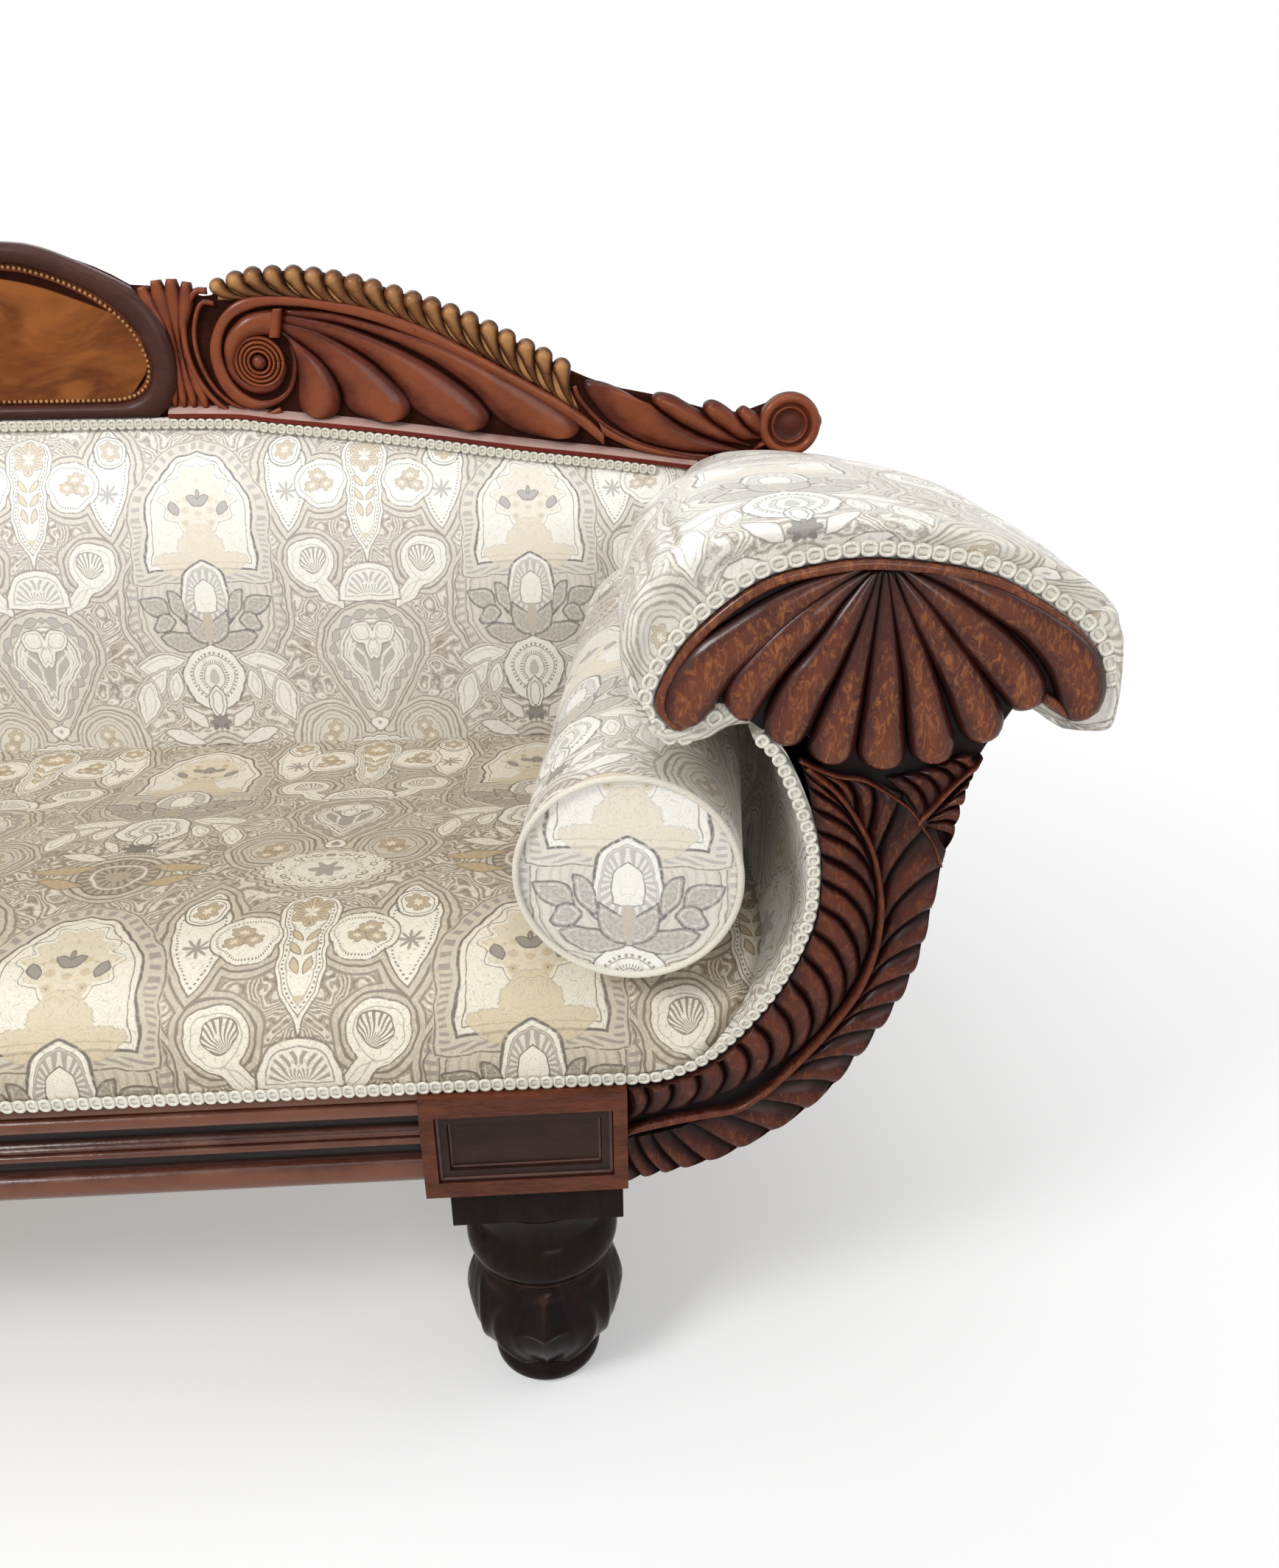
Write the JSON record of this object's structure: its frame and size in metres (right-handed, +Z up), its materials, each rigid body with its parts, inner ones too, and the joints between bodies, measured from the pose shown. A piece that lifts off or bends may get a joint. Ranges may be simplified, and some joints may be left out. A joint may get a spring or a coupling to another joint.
{
  "type": "double-ended sofa",
  "caption": "Double-ended scroll-arm sofa with carved mahogany crest and fan-fronted arms, upholstered seat and back, and loose round bolsters.",
  "frame": {"origin": "on the floor, under the middle of the sofa's bounding box", "axes": "+X along the sofa's length, the front faces -Y, +Z up"},
  "size_m": [2.2312, 0.7102, 0.9148],
  "materials": {
    "mahogany": "french polished, worn on the high spots",
    "dark_mahogany": "dark polished",
    "figured_panel": "figured veneer, polished",
    "banded_frame": "crossbanded veneer, satin",
    "secondary_wood": "plain beech, unpolished",
    "damask": "satin damask",
    "back_cloth": "plain cotton sateen",
    "braid": "woven gimp braid",
    "piping": "covered cord",
    "webbing": "jute webbing"
  },
  "bodies": {
    "sofa": {"arm_facing_left": "mahogany", "arm_facing_right": "mahogany", "arm_fan_left": "mahogany", "arm_fan_right": "mahogany", "arm_outer_cover_left": "damask", "arm_outer_cover_right": "damask", "arm_pad_left": "damask", "arm_pad_right": "damask", "arm_roll_left": "damask", "arm_roll_right": "damask", "arm_stretchers_left": "secondary_wood", "arm_stretchers_right": "secondary_wood", "back_muntin": "secondary_wood", "back_outer_cover": "back_cloth", "back_pad": "damask", "back_rail": "secondary_wood", "back_stile_left": "secondary_wood", "back_stile_right": "secondary_wood", "crest_arch": "banded_frame", "crest_bead_string": "mahogany", "crest_gadroons_left": "mahogany", "crest_gadroons_right": "mahogany", "crest_leaves_left": "mahogany", "crest_leaves_right": "mahogany", "crest_panel": "figured_panel", "crest_rail": "mahogany", "crest_reeds_left": "mahogany", "crest_reeds_right": "mahogany", "crest_scroll_left": "mahogany", "crest_scroll_right": "mahogany", "crest_tip_left": "mahogany", "crest_tip_right": "mahogany", "cross_bearers": "secondary_wood", "front_leg_left": "dark_mahogany", "front_leg_right": "dark_mahogany", "front_rail": "secondary_wood", "front_rail_moulding": "mahogany", "gimp_arm_left": "braid", "gimp_arm_right": "braid", "gimp_back": "braid", "gimp_seat": "braid", "leg_block_left": "mahogany", "leg_block_right": "mahogany", "rear_arm_frame_left": "secondary_wood", "rear_arm_frame_right": "secondary_wood", "rear_leg_left": "mahogany", "rear_leg_right": "mahogany", "seat_pad": "damask", "seat_webbing": "webbing", "side_rail_left": "secondary_wood", "side_rail_right": "secondary_wood"},
    "bolster_right": {"bolster_piping_right": "piping", "bolster_right": "damask"},
    "bolster_left": {"bolster_left": "damask", "bolster_piping_left": "piping"}
  },
  "joints": [
    {"name": "bolster_right_lift", "type": "slide", "parent": "sofa", "child": "bolster_right", "axis": [-0.866, 0, 0.5], "range_m": [0, 0.35]},
    {"name": "bolster_left_lift", "type": "slide", "parent": "sofa", "child": "bolster_left", "axis": [0.866, 0, 0.5], "range_m": [0, 0.35]}
  ]
}
